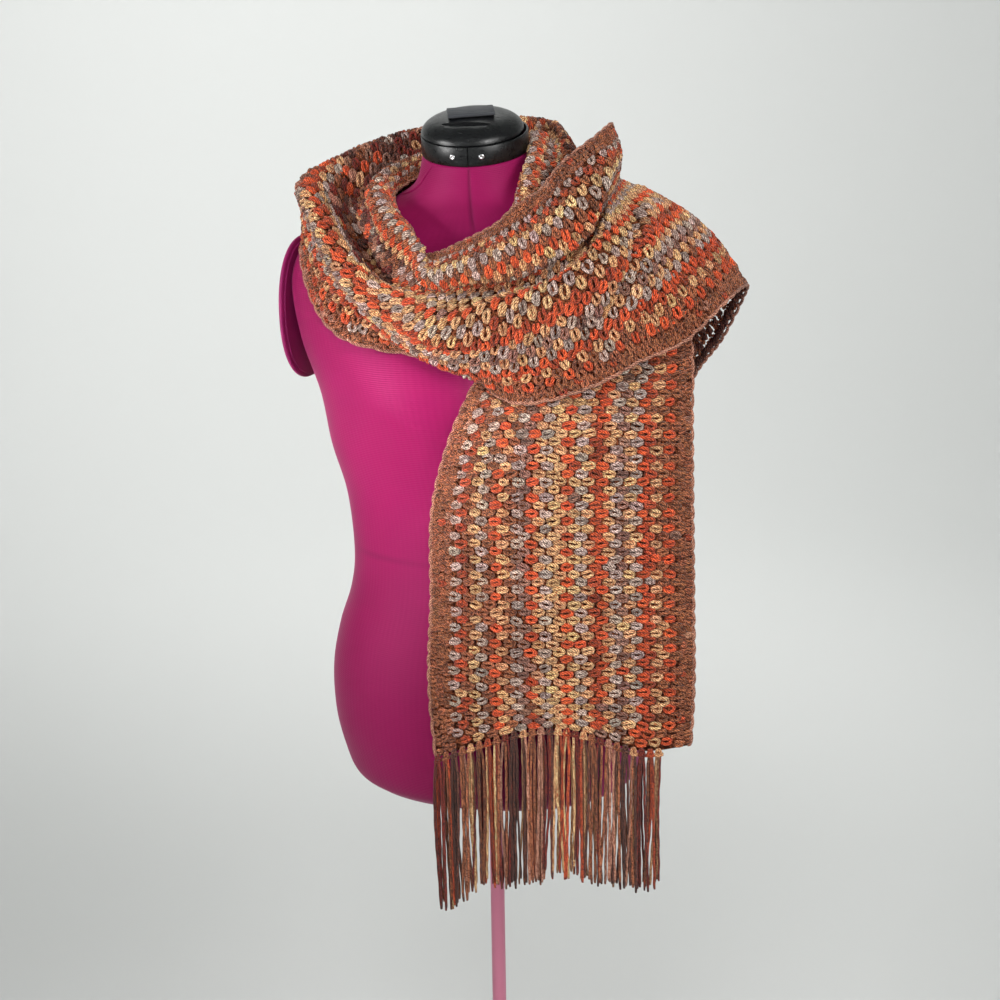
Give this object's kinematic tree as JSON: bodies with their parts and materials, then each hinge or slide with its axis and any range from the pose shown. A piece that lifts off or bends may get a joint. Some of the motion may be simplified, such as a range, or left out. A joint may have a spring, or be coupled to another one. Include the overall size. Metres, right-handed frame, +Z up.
{
  "type": "crochet scarf on a dress form",
  "caption": "Long fringed crochet scarf in stripes of variegated yarn, wound round the neck of a limbless dress form that stands on a pole and a round base.",
  "frame": {"origin": "centre of the base's underside, where the pole's axis meets the floor", "axes": "+Z up along the pole, -Y the way the form faces, +X towards the form's left shoulder"},
  "size_m": [0.5049, 0.3689, 1.4312],
  "materials": {
    "yarn": "matte variegated yarn in brown, orange-red, tan and grey-lilac",
    "knit": "fine magenta knit stretched over the form",
    "plate": "matt dark magenta",
    "black": "glossy black, lightly scratched",
    "steel": "bright rivet",
    "pink": "satin dusty pink paint"
  },
  "bodies": {
    "root": {"scarf_front_tail": "yarn", "scarf_neck_side": "yarn", "scarf_nape": "yarn", "scarf_shoulder_loop": "yarn", "scarf_crossing": "yarn", "scarf_left_shoulder": "yarn", "scarf_back_tail": "yarn", "fringe_front": "yarn", "fringe_back": "yarn", "form_body": "knit", "arm_plate_left": "plate", "arm_plate_right": "plate", "neck_cap": "black", "cap_band": "black", "cap_handle": "black", "cap_rivet_left": "steel", "cap_rivet_right": "steel", "pole": "pink", "pole_socket": "black", "base_hub": "black", "base_plate": "black"}
  },
  "joints": []
}
